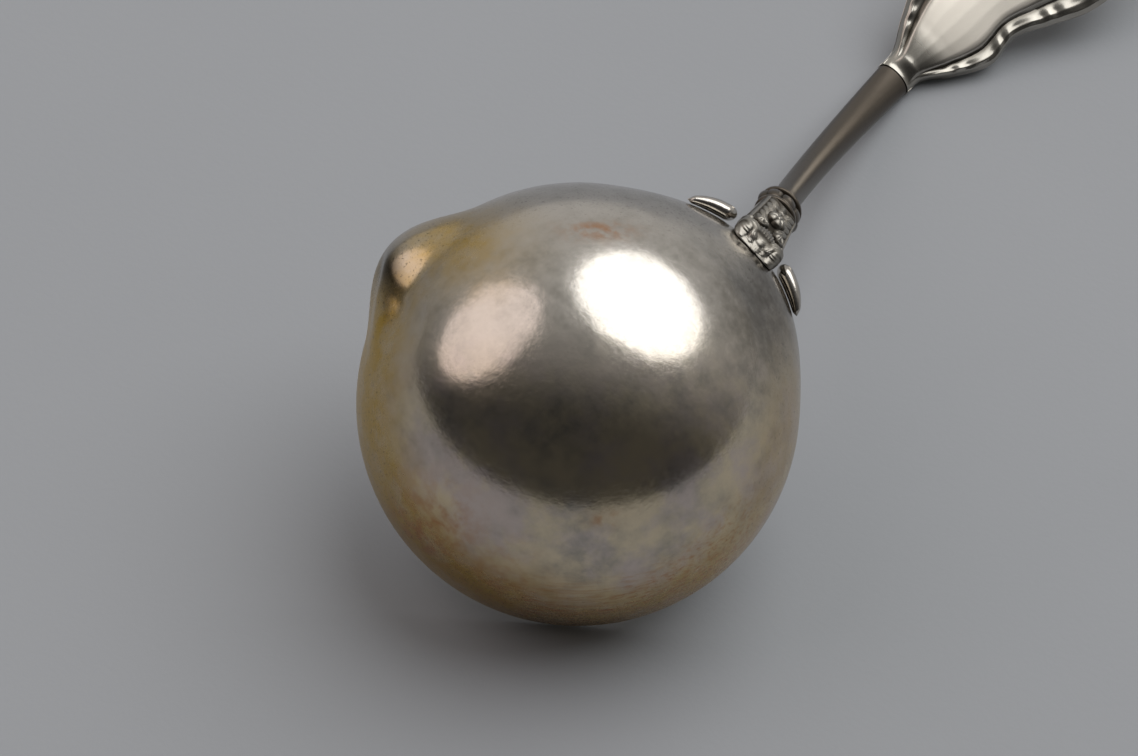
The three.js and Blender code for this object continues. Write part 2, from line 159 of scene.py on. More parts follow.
# Where the bowl has toned and where a dark reflection is painted on, in millimetres right and up
# in the picture from the rim's middle. An edge has its strength, its direction in the picture, the
# turns over which it fades to both sides and the distances over which it rises. A patch has its
# strength, its middle and its reach.
GOLDEN_EDGES = [
    (1, 205, (40, 85), (15.5, 23)), (0.8, -75, (20, 60), (17.5, 23)), (0.5, -30, (20, 70), (17, 23.5))]
BROWN_EDGES = [(0.3, -75, (40, 80), (21, 23.5))]
RUN_EDGES = [(1, -75, (25, 60), (17, 22))]
GOLDEN_PATCHES = [(0.8, (-13, 17), (6.5, 5))]
BROWN_PATCHES = [
    (0.9, (-16, -13.5), (5, 5)), (0.45, (-9, -18), (5, 4)),
    (0.8, (2, 18.2), (3.4, 1)), (0.7, (2.6, -11.6), (1.6, 0.9))]
DULL_PATCHES = [(1, (20.5, 11), (6.5, 6.5))]
# Painted dark reflection: a dark patch on one flank of the pouring lip stands for the dark room mirrored
# there
PAINTED_DARK_REFLECTION_PATCHES = [(0.95, (-20.2, 14.4), (1.4, 3))]
STAINED_FROM = (18, 23.5)
WARM_FROM = (-12, 6)
TONED_INSIDE = 0.3

# How the ladle lies on the table
LYING_TILT = 41
LOWEST_TURN = 136.4
RIM_FACE_RADIUS = 23.6525
RIM_FACE_TURN = 182.5

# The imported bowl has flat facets, so the smooth one is this much smaller to stay within its box.
WITHIN_FACETS = 0.06

# The picture's view of it: the bowl's pole leans from the line of sight, the handle's direction is
# an angle in the picture, and the rim's middle stands at a pixel.
PICTURE_SIZE = (1138, 756)
RIM_PIXEL = (578, 404)
PIXELS_PER_MM = 9.25
CAMERA_AWAY = 400
POLE_LEAN = 3.6
HANDLE_IN_PICTURE = 42
SENSOR_WIDTH = 36

# The lamps stand where the bowl mirrors them as in the picture: angles in degrees, sizes as shares
# of their distance, and distances in metres. The room's light side lies a little to the right and
# rises, and it is dark up to a cosine of the angle from there.
WINDOW_LAMP = {
    "azimuth": 78, "elevation": 57.5, "spin": 16, "size": (1.16, 1.04), "colour": (1, 1, 1)}
FILL_LAMP = {
    "azimuth": -154.8, "elevation": 40.9, "spin": 28, "size": (0.8, 0.98), "colour": (1, 0.86, 0.84)}
LAMP_AWAY = 2.4
FLOOR_RADIUS = 1.6
ROOM_RIGHT = 0.12
ROOM_RISE = 0.55
ROOM_DARK_TO = -0.3
ROOM_COLOUR = (1, 0.985, 0.96)

# The sockets of a mix node that mixes colours: its share, the two colours and the result
MIX_SHARE, MIX_UNDER, MIX_OVER, MIX_RESULT = 0, 6, 7, 2


# Small helpers

def smooth(value, low, high):
    """Rises from 0 at low to 1 at high, level at both ends."""
    share = np.clip((value - low) / (high - low), 0, 1)
    return share * share * (3 - 2 * share)


def between(value, start, full, fading, end):
    """Rises smoothly from 0 at start to 1 at full, and falls again from fading to end."""
    return smooth(value, start, full) * (1 - smooth(value, fading, end))


def blend(start, end, share):
    """From start at share 0 to end at share 1, in a straight line."""
    return start + (end - start) * share


def bell(value, middle, reach):
    """A bell curve: 1 in its middle, and about a third at its reach."""
    return np.exp(-((value - middle) / reach) ** 2)


def dome(share):
    """The height of a half ball of radius 1 at a share of its radius, and 0 outside it."""
    return np.sqrt(np.clip(1 - share ** 2, 0, 1))


def turn_from(turn, place):
    """The turn from a place, between -180 and 180 degrees."""
    return (turn - place + 180) % 360 - 180


def unit(vector):
    """The direction of a vector, with length 1."""
    vector = np.asarray(vector, float)
    return vector / np.linalg.norm(vector)


def linear(hex_colour):
    """An sRGB hex colour as linear red, green and blue."""
    parts = np.array([int(hex_colour[i:i + 2], 16) for i in (1, 3, 5)]) / 255
    return tuple(np.where(parts <= 0.04045, parts / 12.92, ((parts + 0.055) / 1.055) ** 2.4))


# Where the ladle lies

def handle_line(distance):
    """Points (x, z) and the slope of the handle line. Along each arc the slope changes evenly with
    the distance, so the point follows from the sines and cosines of the slopes at its ends."""
    left = np.asarray(distance, float)
    x = np.full(left.shape, BOWL_RADIUS + FOOT_AWAY, float)
    z = np.full(left.shape, -FOOT_DEPTH, float)
    slope = np.full(left.shape, np.radians(FOOT_SLOPE))
    start = FOOT_SLOPE
    for i, (length, end) in enumerate(HANDLE_RUNS):
        bend = np.radians(end - start) / length
        lowest = -np.inf if i == 0 else 0
        highest = np.inf if i == len(HANDLE_RUNS) - 1 else length
        step = np.clip(left, lowest, highest)
        here = np.radians(start)
        x = x + (np.sin(here + bend * step) - np.sin(here)) / bend
        z = z + (np.cos(here) - np.cos(here + bend * step)) / bend
        slope = slope + bend * step
        left = left - step
        start = end
    return x, z, slope


def beside_handle(distance, sideways, frontwards):
    """Points beside the handle line: sideways along Y, frontwards square to the line."""
    distance, sideways, frontwards = np.broadcast_arrays(distance, sideways, frontwards)
    x, z, slope = handle_line(distance)
    return np.stack([
        x - np.sin(slope) * frontwards,
        sideways.astype(float),
        z + np.cos(slope) * frontwards,
    ], axis=-1)


def lying_turn():
    """The turn from the ladle's own frame to the part's: its up direction to Z, then its handle to Y."""
    tilt = np.radians(LYING_TILT)
    turn = np.radians(LOWEST_TURN)
    up = np.array([-np.sin(tilt) * np.cos(turn), -np.sin(tilt) * np.sin(turn), -np.cos(tilt)])
    upright = np.array(Vector(up).rotation_difference(Vector((0, 0, 1))).to_matrix())
    tip = upright @ beside_handle(BLADE_START + BLADE_LENGTH, 0, 0)
    return np.array(Matrix.Rotation(np.pi / 2 - np.arctan2(tip[1], tip[0]), 3, "Z")) @ upright


LYING = lying_turn()


def rim_middle():
    """The middle of the rim in the part's frame, worked back from the mount on the rim's face."""
    face = np.array(frame["record"]["mounts"][0]["pos_m"]) / MM
    turn = np.radians(RIM_FACE_TURN)
    return face - LYING @ (RIM_FACE_RADIUS * np.array([np.cos(turn), np.sin(turn), 0]))


RIM_MIDDLE = rim_middle()


def camera_axes():
    """The picture's right, up and towards-the-camera directions, in the part's frame."""
    lean = np.radians(POLE_LEAN)
    handle = np.radians(HANDLE_IN_PICTURE)
    aside = handle - np.pi / 2
    pole = np.array([np.sin(lean) * np.cos(aside), np.sin(lean) * np.sin(aside), np.cos(lean)])
    across = pole[0] * np.cos(handle) + pole[1] * np.sin(handle)
    x = unit([np.cos(handle), np.sin(handle), -across / pole[2]])
    y = np.cross(-pole, x)
    seen = np.column_stack([x, y, -pole])
    return [LYING @ seen[k] for k in range(3)]


RIGHT, UP, TOWARDS = camera_axes()


def laid(points):
    """Points of the ladle's own frame, in millimetres, as points of the part, in metres."""
    return (points @ LYING.T + RIM_MIDDLE) * MM


# Meshes

def make_piece(name, nodes, material, points, marks=None, endless=False, sharp=35):
    """Makes one closed mesh from a grid of points, rows round the piece one after the other.
    The last row joins the first one where the grid is endless, and else each end closes on one
    point. It stands for the CAD nodes. marks are named amounts, one for each point of the grid.
    The signed volume under the faces tells whether they point outwards, and else they turn round.
    Edges sharper than so many degrees stay sharp."""
    rows, count = points.shape[:2]
    row, column = np.meshgrid(
        np.arange(rows if endless else rows - 1), np.arange(count), indexing="ij")
    beside = (column + 1) % count
    above = (row + 1) % rows
    quads = np.stack([
        row * count + column, row * count + beside, above * count + beside, above * count + column,
    ], axis=-1).reshape(-1, 4)
    places = points.reshape(-1, 3)
    amounts = {
        key: np.broadcast_to(value, (rows, count)).reshape(-1) for key, value in (marks or {}).items()}
    fans = np.empty((0, 3), int)
    if not endless:
        first = np.arange(count)
        last = (rows - 1) * count + first
        middles = len(places) + np.array([0, 1])
        fans = np.concatenate([
            np.stack([np.full(count, middles[0]), np.roll(first, -1), first], axis=-1),
            np.stack([np.full(count, middles[1]), last, np.roll(last, -1)], axis=-1),
        ])
        places = np.concatenate([places, points[[0, -1]].mean(axis=1)])
        for key, value in amounts.items():
            ends = [value[:count].mean(), value[-count:].mean()]
            amounts[key] = np.concatenate([value, ends])
    triangles = np.concatenate([quads[:, [0, 1, 2]], quads[:, [0, 2, 3]], fans])
    a, b, c = (places[triangles[:, k]] for k in range(3))
    if np.einsum("ij,ij->", a, np.cross(b, c)) < 0:
        quads = quads[:, ::-1]
        fans = fans[:, ::-1]
    mesh = bpy.data.meshes.new(name)
    mesh.from_pydata(laid(places).tolist(), [], quads.tolist() + fans.tolist())
    mesh.shade_smooth()
    mesh.set_sharp_from_angle(angle=np.radians(sharp))
    for key, value in amounts.items():
        layer = mesh.attributes.new(key, "FLOAT", "POINT")
        layer.data.foreach_set("value", value.astype(np.float32))
    mesh.materials.append(material)
    piece = bpy.data.objects.new(name, mesh)
    bpy.context.scene.collection.objects.link(piece)
    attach(piece, "root")
    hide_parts(*nodes)


def oval_rows(distance, half, turns):
    """Oval rings across the handle line, one row for each distance."""
    width, thickness = half
    return beside_handle(
        distance[:, None],
        np.broadcast_to(width, distance.shape)[:, None] * np.cos(turns),
        np.broadcast_to(thickness, distance.shape)[:, None] * np.sin(turns))


def round_turns(count):
    """Even turns all round, in radians."""
    return np.arange(count) * 2 * np.pi / count


# Shapes

def hammered_out(place, turn, from_pole):
    """How far a hammered place stands out: a cosine squared round the rim, times a smooth rise
    from the bowl's pole to its rim. Angles in degrees."""
    away = turn_from(turn, place["turn"])
    hump = np.cos(np.radians(90 * np.clip(away / place["half_angle"], -1, 1))) ** 2
    return place["reach"] * hump * smooth(from_pole, place["starts"], place["full"])


def wall_reach(radius, turn, from_pole):
    """The wall's distance from the rim's middle. The pouring lip leans over towards its foot, and
    one side of it falls off over a crease, as a hammer leaves it."""
    leaning = turn + LIP_LEAN * (1 - smooth(from_pole, *LIP_FOOT))
    aside = turn_from(POURING_LIP["turn"], leaning)
    crease = between(aside, *CREASE_TURNS) * between(from_pole, *CREASE_HEIGHTS)
    lip = hammered_out(POURING_LIP, leaning, from_pole) - CREASE_DEPTH * crease
    return radius + lip + hammered_out(HANDLE_SWELL, turn, from_pole)


def bowl_points(rim_rounding):
    """The bowl as a profile carried round its axis: the outside from the pole to the rim, a small
    arc, the flat rim, another arc, and the inside back to the pole. At each turn the reach is the
    bowl's radius plus what is hammered out there."""
    turn = np.degrees(round_turns(300))
    top = 90 - np.degrees(rim_rounding / BOWL_RADIUS)
    from_pole = np.concatenate([np.linspace(0.5, 50, 34), np.linspace(51, top, 52)])[:, None]
    corner = np.radians(np.linspace(15, 90, 5))[:, None]
    rows = []
    for radius, side in ((BOWL_RADIUS - WITHIN_FACETS, 1), (BOWL_RADIUS - BOWL_WALL, -1)):
        reach = wall_reach(radius, turn, from_pole)
        wall = (reach * np.sin(np.radians(from_pole)), -reach * np.cos(np.radians(from_pole)))
        edge = wall_reach(radius, turn, 90) - side * rim_rounding * (1 - np.cos(corner))
        rim = (edge, -rim_rounding * (1 - np.sin(corner)) * np.ones(len(turn)))
        rows.append(np.concatenate([wall, rim], axis=1)[:, ::side])
    away, height = np.concatenate(rows, axis=1)
    return np.stack([
        away * np.cos(np.radians(turn)), away * np.sin(np.radians(turn)), height], axis=-1)


def tone_and_painted_reflection(across, upwards, edges=(), patches=()):
    """The amount of a mark at places of the picture, for the tones and for the painted dark reflection:
    the strongest of the edges, each a smooth rise outwards that fades round the bowl, and of the
    patches, each a bell curve both ways."""
    out = np.hypot(across, upwards)
    direction = np.degrees(np.arctan2(upwards, across))
    amount = np.zeros_like(across)
    for strength, middle, fade, rise in edges:
        aside = np.abs(turn_from(direction, middle))
        amount = np.maximum(amount, strength * smooth(out, *rise) * (1 - smooth(aside, *fade)))
    for strength, middle, reach in patches:
        spot = bell(across, middle[0], reach[0]) * bell(upwards, middle[1], reach[1])
        amount = np.maximum(amount, strength * spot)
    return amount


def bowl_marks(points):
    """Where the bowl has toned, as seen in the picture: gold along its left and lower edges, brown
    low on the left, and gray elsewhere. A painted dark reflection darkens one flank of the pouring lip,
    where the dark room is mirrored. The inside, the second half of the rows, has toned less."""
    turned = points @ LYING.T
    across, upwards = turned @ RIGHT, turned @ UP
    outside = np.where(np.arange(len(points)) < len(points) / 2, 1, TONED_INSIDE)[:, None]
    return {
        "golden": outside * tone_and_painted_reflection(across, upwards, GOLDEN_EDGES, GOLDEN_PATCHES),
        "brown": outside * tone_and_painted_reflection(across, upwards, BROWN_EDGES, BROWN_PATCHES),
        "dull": tone_and_painted_reflection(across, upwards, patches=DULL_PATCHES),
        # Painted dark reflection on the pouring lip's flank
        "painted_dark_reflection": tone_and_painted_reflection(across, upwards, patches=PAINTED_DARK_REFLECTION_PATCHES),
        "low": tone_and_painted_reflection(across, upwards, RUN_EDGES),
        "edge": smooth(np.hypot(across, upwards), *STAINED_FROM),
        "warm": smooth(-upwards, *WARM_FROM),
    }


def shoulder_half(distance):
    """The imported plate's half width and half thickness, from its foot past the rim to its neck."""
    low = smooth(distance, 0, FOOT_DEPTH)
    high = smooth(distance, FOOT_DEPTH, SHOULDER_STOP)
    return [
        np.where(distance < FOOT_DEPTH, blend(FOOT_HALF[k], RIM_HALF[k], low),
                 blend(RIM_HALF[k], NECK_HALF[k], high))
        for k in range(2)]


def off_the_bowl(points, gap):
    """Moves points that lie within the bowl's wall straight out to it, less and less above the rim."""
    away = np.linalg.norm(points, axis=-1)
    turn = np.degrees(np.arctan2(points[..., 1], points[..., 0]))
    from_pole = np.degrees(np.arccos(np.clip(-points[..., 2] / away, -1, 1)))
    wall = wall_reach(BOWL_RADIUS, turn, np.minimum(from_pole, 90)) + gap
    short = np.maximum(0, wall - away) * (1 - smooth(points[..., 2], 0, 1.2))
    return points * (1 + short / away)[..., None]


def lobe(along, beside, middle, direction, length, width):
    """A cast lobe: half an egg, blunter at its start, turned to a direction in degrees, with fine
    lines cut along it. It is 1 at its top and 0 outside its outline."""
    angle = np.radians(direction)
    forward = (along - middle[0]) * np.cos(angle) + (beside - middle[1]) * np.sin(angle)
    aside = (beside - middle[1]) * np.cos(angle) - (along - middle[0]) * np.sin(angle)
    taper = width * (1 - 0.3 * np.clip(forward / length, -1, 1))
    lines = 0.9 + 0.1 * np.cos(2 * np.pi * aside / (0.42 * width))
    return dome(np.hypot(forward / length, aside / taper)) * lines


def shoulder_relief(along, beside, half_width, height):
    """The casting's relief: two round lobes at its foot, beads at the rim, scrolls up both sides
    that lean outwards, a beaded rib up the middle, and a thin rolled edge."""
    away = np.abs(beside)
    relief = 0.55 * bell(away / half_width, 0.88, 0.08) * smooth(along, 2, 4)
    relief = np.maximum(relief, lobe(along, away, *FOOT_LOBE))
    for middle in BEAD_MIDDLES:
        bead = dome(np.hypot((along - middle[0]) / BEAD_HALF[0], (away - middle[1]) / BEAD_HALF[1]))
        relief = np.maximum(relief, 0.9 * bead)
    for middle in SCROLL_MIDDLES:
        relief = np.maximum(relief, 0.85 * lobe(along, away, middle, *SCROLL))
    beads = 0.7 + 0.3 * np.cos(2 * np.pi * along / 0.8)
    relief = np.maximum(relief, 0.8 * bell(beside, 0, 0.3) * beads * smooth(along, 10, 11))
    return height * (relief - 0.3)


def foot_relief(back, beside):
    """The relief on the end of the foot: a fan in the middle, a scroll and a round lobe beside it."""
    relief = lobe(back, beside, *END_FAN)
    for shape in (END_SCROLL, END_LOBE):
        relief = np.maximum(relief, lobe(back, np.abs(beside), *shape))
    return relief


def shoulder_points(relief_height, gap):
    """The shoulder plate as square-shouldered oval rings along the handle line. Its foot is thick
    and rounded off, its end and its back carry the relief, its front lies on the bowl's wall, and
    its other end turns in to the tang's socket."""
    turns = round_turns(200)
    distance = np.concatenate([
        FOOT_ROUNDING * np.linspace(0.03, 1, 26) ** 1.6,
        np.linspace(FOOT_ROUNDING + 0.05, SHOULDER_STOP, 230)])
    width, thickness = shoulder_half(distance)
    width = np.maximum(width, FOOT_WIDTH * (1 - smooth(distance, *FOOT_WIDE_TO)))
    rounded = dome(1 - np.minimum(distance / FOOT_ROUNDING, 1))
    across = np.sign(np.cos(turns)) * np.abs(np.cos(turns)) ** PLATE_SQUARENESS
    outwards = np.sign(np.sin(turns)) * np.abs(np.sin(turns)) ** PLATE_SQUARENESS
    beside = (width * rounded)[:, None] * across
    relief = shoulder_relief(distance[:, None], beside, width[:, None], relief_height)
    ends = rounded * (1 - smooth(distance, SHOULDER_STOP - 0.8, SHOULDER_STOP - 0.2))
    raised = relief * smooth(-outwards, 0.1, 0.5) * ends[:, None]
    thicker = FOOT_THICKNESS * (1 - smooth(distance, *FOOT_THICK_TO))
    back = np.where(outwards < 0, np.maximum(thickness, thicker)[:, None], thickness[:, None])
    depth = rounded[:, None] * back * outwards - raised
    on_end = foot_relief(-depth, beside)
    at_end = (1 - smooth(distance, 0.5, FOOT_ROUNDING))[:, None]
    feathered = FOOT_FEATHER * smooth(depth, -0.6, 0.3) + FOOT_LOBE_HEIGHT * on_end
    outside = off_the_bowl(beside_handle(distance[:, None] - feathered * at_end, beside, depth), gap)
    depths = np.linspace(SHOULDER_STOP, SHOULDER_STOP - TANG_DEPTH - SEAM, 8)
    socket = oval_rows(depths, [size + SEAM for size in TANG_HALF], turns)
    low = smooth(0.25 - relief / relief_height, -0.05, 0.45) * smooth(-outwards, 0.05, 0.4)
    low = blend(low, 0.7 * smooth(0.4 - on_end, 0, 0.4) * smooth(-depth, 0.1, 0.5), at_end)
    hollow = np.concatenate([low, np.ones((len(depths), len(turns)))])
    return np.concatenate([outside, socket]), {"hollow": hollow}


def leaf_points(side, groove, gap):
    """A plump smooth leaf rolled along the rim: round sections that shrink to the tip and close
    bluntly beside the plate. One soft groove sets off a thin rolled edge on the bowl's side, as a
    narrow bell curve of the roll."""
    along = np.concatenate([
        LEAF_BLUNT_SHARE * np.linspace(0.02, 1, 26) ** 2, np.linspace(LEAF_BLUNT_SHARE + 0.01, 1, 84)])
    roll = round_turns(96)
    beside = RIM_HALF[0] + SEAM + along * LEAF_LENGTH
    turn = np.degrees(side * np.arcsin(beside / BOWL_RADIUS))
    blunt = dome(1 - np.minimum(along / LEAF_BLUNT_SHARE, 1))
    tip = dome(np.sqrt(0.96) * smooth(along, 0.86, 1))
    body = LEAF_FULLNESS * blend(LEAF_RADIUS, LEAF_TIP_RADIUS, along ** LEAF_TAPER)
    thick = body * blunt * tip
    away = wall_reach(BOWL_RADIUS, turn, 90) + gap + body
    rise = LEAF_TOP - LEAF_DROP * along
    off_groove = np.radians(turn_from(np.degrees(roll), LEAF_GROOVE_AT))
    fading = between(along, 0.06, 0.2, 0.8, 0.98)
    cut = bell(off_groove, 0, LEAF_GROOVE_WIDTH)[None, :] * fading[:, None]
    size = thick[:, None] * (1 - groove * cut)
    reach = away[:, None] + size * np.cos(roll)
    angle = np.radians(turn)[:, None]
    height = rise[:, None] + size * LEAF_HEIGHT_TO_THICKNESS * np.sin(roll)
    points = np.stack([reach * np.cos(angle), reach * np.sin(angle), height], axis=-1)
    return points, {"hollow": 0.7 * cut}


def blossom_points(place, side, cast):
    """A low cast ornament draped on the back of the plate. Its outline is a circle drawn in between
    five petals, and cast(share, turn, beside) gives its height over the plate at each point."""
    before_neck, sideways, radius = place
    turn = round_turns(120)
    share = np.concatenate([[1, 1, 0.985], np.linspace(0.96, 0.02, 30)])[:, None]
    foot = np.concatenate([[0, 0.5, 0.8], np.ones(30)])[:, None]
    petal = 1 - 0.16 * (1 - np.abs(np.cos(PETALS * turn / 2)))
    along = SHOULDER_STOP - before_neck + radius * share * petal * np.sin(turn)
    local = radius * share * petal * np.cos(turn)
    beside = side * sideways + local
    width, thickness = shoulder_half(along)
    face = thickness * dome(beside / width)
    relief = cast(share, turn, local)
    height = BLOSSOM_HEIGHT * foot * relief
    points = beside_handle(along, beside, -(face + SEAM * foot * 0.9 + height))
    low = smooth(0.75 - relief, 0, 0.5)
    return points, {"hollow": np.maximum(low, 1 - foot)}


def fluted(share, turn, beside):
    """A fan of fine parallel ribs on a low dome."""
    ribs = 0.86 + 0.14 * np.cos(2 * np.pi * beside / FLUTE_STEP)
    return (0.75 * dome(share) + 0.15) * ribs * np.ones_like(turn)


def volute(share, turn, beside):
    """A spiral roll: a ridge whose turn goes on with the distance from its middle."""
    hill = 1 - 0.65 * share ** 2
    ridge = 0.5 + 0.5 * np.cos(turn + 2 * np.pi * 1.3 * share)
    return hill * (0.5 + 0.5 * np.maximum(ridge, bell(share, 0, 0.22)))


def flower(share, turn, beside):
    """Five cupped petals with a vein in each, round a bead."""
    cup = 0.35 + 0.6 * np.sin(np.pi * share ** 0.8)
    in_petal = np.abs(np.cos(PETALS * turn / 2))
    return np.maximum(cup * (0.55 + 0.45 * np.sqrt(in_petal)), dome(share / 0.3))


def ring_points(start, length, half, squareness, bulge, count, dark_ends, cuts=0, cut_depth=0):
    """A ring threaded on the tang: a rounded profile carried round an oval, then the bore. bulge is
    how far the profile swells out, and the oval is drawn in at so many cuts between its lobes. It
    is dark in the cuts and more or less towards its ends."""
    turns = round_turns(count)
    off_lobes = 1 - np.sqrt(np.abs(np.cos(cuts * turns / 2)))
    profile = np.linspace(-1, 1, 17)[:, None]
    swell = np.abs(1 - np.abs(profile) ** squareness) ** (1 / squareness)
    drawn_in = bulge * (1 - swell) + cut_depth * off_lobes * (0.4 + 0.6 * swell)
    outside = beside_handle(
        start + (profile + 1) / 2 * length,
        (half[0] - drawn_in) * np.cos(turns),
        (half[1] - drawn_in) * np.sin(turns))
    bore = oval_rows(np.array([start + length, start]), [size + SEAM for size in TANG_HALF], turns)
    hollow = np.clip(dark_ends * (1 - swell) + 1.2 * off_lobes, 0, 1)
    return np.concatenate([outside, bore]), {"hollow": np.concatenate([hollow, np.ones((2, count))])}


def stem_points():
    """The stem as oval rings: the tang, the tapering rod with eased shoulders, and the tongue."""
    turns = round_turns(64)
    tang = np.linspace(SHOULDER_STOP - TANG_DEPTH, STEM_START, 12)
    rod = np.linspace(STEM_START, STEM_STOP, 120)
    tongue = np.linspace(STEM_STOP, STEM_STOP + TONGUE_LENGTH, 40)
    share = (rod - STEM_START) / (STEM_STOP - STEM_START)
    eased = 1 - 0.08 * (1 - smooth(rod, STEM_START, STEM_START + 0.4))
    half = [
        blend(STEM_START_HALF[0], STEM_END_HALF[0], share ** 2) * eased,
        blend(STEM_START_HALF[1], STEM_END_HALF[1], share) * eased]
    points = np.concatenate([
        oval_rows(tang, TANG_HALF, turns), oval_rows(rod, half, turns),
        oval_rows(tongue, TONGUE_HALF, turns)])
    low = 1 - smooth(rod, STEM_START, STEM_START + 3)
    hollow = np.concatenate([np.ones(len(tang)), low, np.ones(len(tongue))])[:, None]
    return points, {"hollow": hollow}


def outline_half(at):
    """The half width of the handle end: a smooth curve through the outline's points, whose slope
    at each point is that between its neighbours."""
    places, halves = np.array(BLADE_OUTLINE).T
    slopes = np.gradient(halves, places)
    index = np.clip(np.searchsorted(places, at) - 1, 0, len(places) - 2)
    span = places[index + 1] - places[index]
    share = (at - places[index]) / span
    a, b = halves[index], halves[index + 1]
    p, q = slopes[index] * span, slopes[index + 1] * span
    return (a * (1 + 2 * share) + p * share) * (1 - share) ** 2 \
        + (b * (3 - 2 * share) + q * (share - 1)) * share ** 2


def shell_points(side, middle_crown, scroll_height):
    """A struck shell: across it the smooth raised panel, a groove and the scrolled border, and
    behind it the hollow with room for the tongue. Near the neck the section is half an oval. The
    back one's panel rises at once behind the neck and then falls away slowly."""
    at = np.concatenate([np.linspace(0, 8, 50), np.linspace(8.2, BLADE_LENGTH, 200)])[:, None]
    half = outline_half(at)
    spread = smooth(at, 0, NECK_LENGTH)
    to_tip = smooth(at, BLADE_LENGTH - TIP_LENGTH, BLADE_LENGTH)
    crown = blend(NECK_CROWN, blend(middle_crown, TIP_CROWN, to_tip), spread)
    if side < 0:
        falling = (1 - 0.6 * smooth(at, 1, 8)) * (1 - smooth(at, 8, 24))
        crown = crown + PANEL_RISE * smooth(at, 0, 2.6) * falling
    across = np.sin(np.linspace(np.pi / 2, -np.pi / 2, 97))[None, :]
    share = np.abs(across)
    struck = np.interp(share, RELIEF_SHARES, RELIEF_HEIGHTS)
    phase = 2 * np.pi * (at + 0.5 * np.sin(0.9 * at)) / BORDER_SCROLL_STEP + 9 * (share - BORDER_MIDDLE)
    scroll = bell(share, BORDER_MIDDLE, 0.09) * smooth(at, 3, 7) * (0.5 - 0.5 * np.cos(phase))
    cut = scroll_height * scroll * (1 - smooth(at, BLADE_LENGTH - 2, BLADE_LENGTH))
    depth = crown * blend(dome(share), struck, spread) - cut
    depth = np.maximum(depth, SHELL_EDGE * (1 - smooth(share, 0.97, 1) * 0.7))
    inner = np.linspace(-0.96, 0.96, 41)[None, :]
    struck_inside = np.interp(np.abs(inner), RELIEF_SHARES, RELIEF_HEIGHTS)
    inner_depth = crown * blend(dome(inner), struck_inside, spread) - SHELL_WALL
    for_tongue = np.where(np.abs(inner) * half <= TONGUE_HALF[0] + SEAM, TONGUE_HALF[1] + SEAM, 0)
    hollow_depth = np.maximum(np.maximum(inner_depth, for_tongue), SEAM / 2)
    seat = np.full_like(half, SEAM / 2)
    sideways = np.concatenate([across * half, -0.985 * half, inner * half, 0.985 * half], axis=1)
    outwards = np.concatenate([depth, seat, hollow_depth, seat], axis=1)
    points = beside_handle(BLADE_START + at, sideways, side * outwards)
    behind = np.ones((len(at), inner.shape[1] + 2))
    buffed = between(at, 4, 9, BLADE_LENGTH - 6, BLADE_LENGTH - 3)
    panel = (1 - smooth(share, 0.52, 0.64)) * spread * buffed
    groove = np.maximum(bell(share, 0.69, 0.05) * smooth(at, 2, 5), 0.35 * scroll)
    return points, {
        "panel": np.concatenate([panel, 0 * behind], axis=1),
        "hollow": np.concatenate([groove, behind], axis=1),
    }


# Materials

def node_adder(tree):
    """The one function that adds nodes to a tree. It sets the node's own values, fills its sockets
    with values or links, and gives back the wanted output."""
    def add(kind, inputs, output=0, **settings):
        node = tree.nodes.new("ShaderNode" + kind)
        for key, value in settings.items():
            setattr(node, key, value)
        for key, value in inputs.items():
            if isinstance(value, bpy.types.NodeSocket):
                tree.links.new(value, node.inputs[key])
            else:
                node.inputs[key].default_value = value
        return node.outputs[output] if node.outputs else node
    return add


def empty_material(name):
    material = bpy.data.materials.new(name)
    material.use_nodes = True
    material.node_tree.nodes.clear()
    return material, node_adder(material.node_tree)


def grains(add, size, low, high, least=0.0, most=1.0, detail=5.0):
    """Noise with grains of a size in millimetres, spread so that low gives least and high most."""
    noise = add("TexNoise", {
        "Vector": add("TexCoord", {}, "Object"), "Scale": 1 / (size * MM), "Detail": detail,
        "Roughness": 0.6})
    return add("MapRange", {
        "Value": noise, "From Min": low, "From Max": high, "To Min": least, "To Max": most}, clamp=True)


def streaks(add, direction, width, length, low, high):
    """Noise drawn out along a direction of the part, for rubbing marks and runs of tarnish. Its
    width and length are in millimetres."""
    drawn = add("Mapping", {
        "Vector": add("TexCoord", {}, "Object"),
        "Rotation": Vector(direction).to_track_quat("X", "Z").to_euler(),
        "Scale": (length * MM, width * MM, width * MM)}, vector_type="TEXTURE")
    noise = add("TexNoise", {"Vector": drawn, "Scale": 1.0, "Detail": 4.0, "Roughness": 0.65})
    return add("MapRange", {"Value": noise, "From Min": low, "From Max": high}, clamp=True)


def layered(add, base, films):
    """Lays films of colour over a base colour, one after the other. A film's share at a point is
    the mark of its place times its strength there."""
    colour = (*base, 1)
    for place, strength, film in films:
        share = add("Math", {0: place, 1: strength}, operation="MULTIPLY")
        colour = add("Mix", {
            MIX_SHARE: share, MIX_UNDER: colour, MIX_OVER: (*film, 1)}, MIX_RESULT, data_type="RGBA")
    return colour


def silver_surface(add, colour, roughness, normal):
    shader = add("BsdfPrincipled", {
        "Base Color": colour, "Metallic": 1, "Roughness": roughness, "Normal": normal})
    add("OutputMaterial", {"Surface": shader})


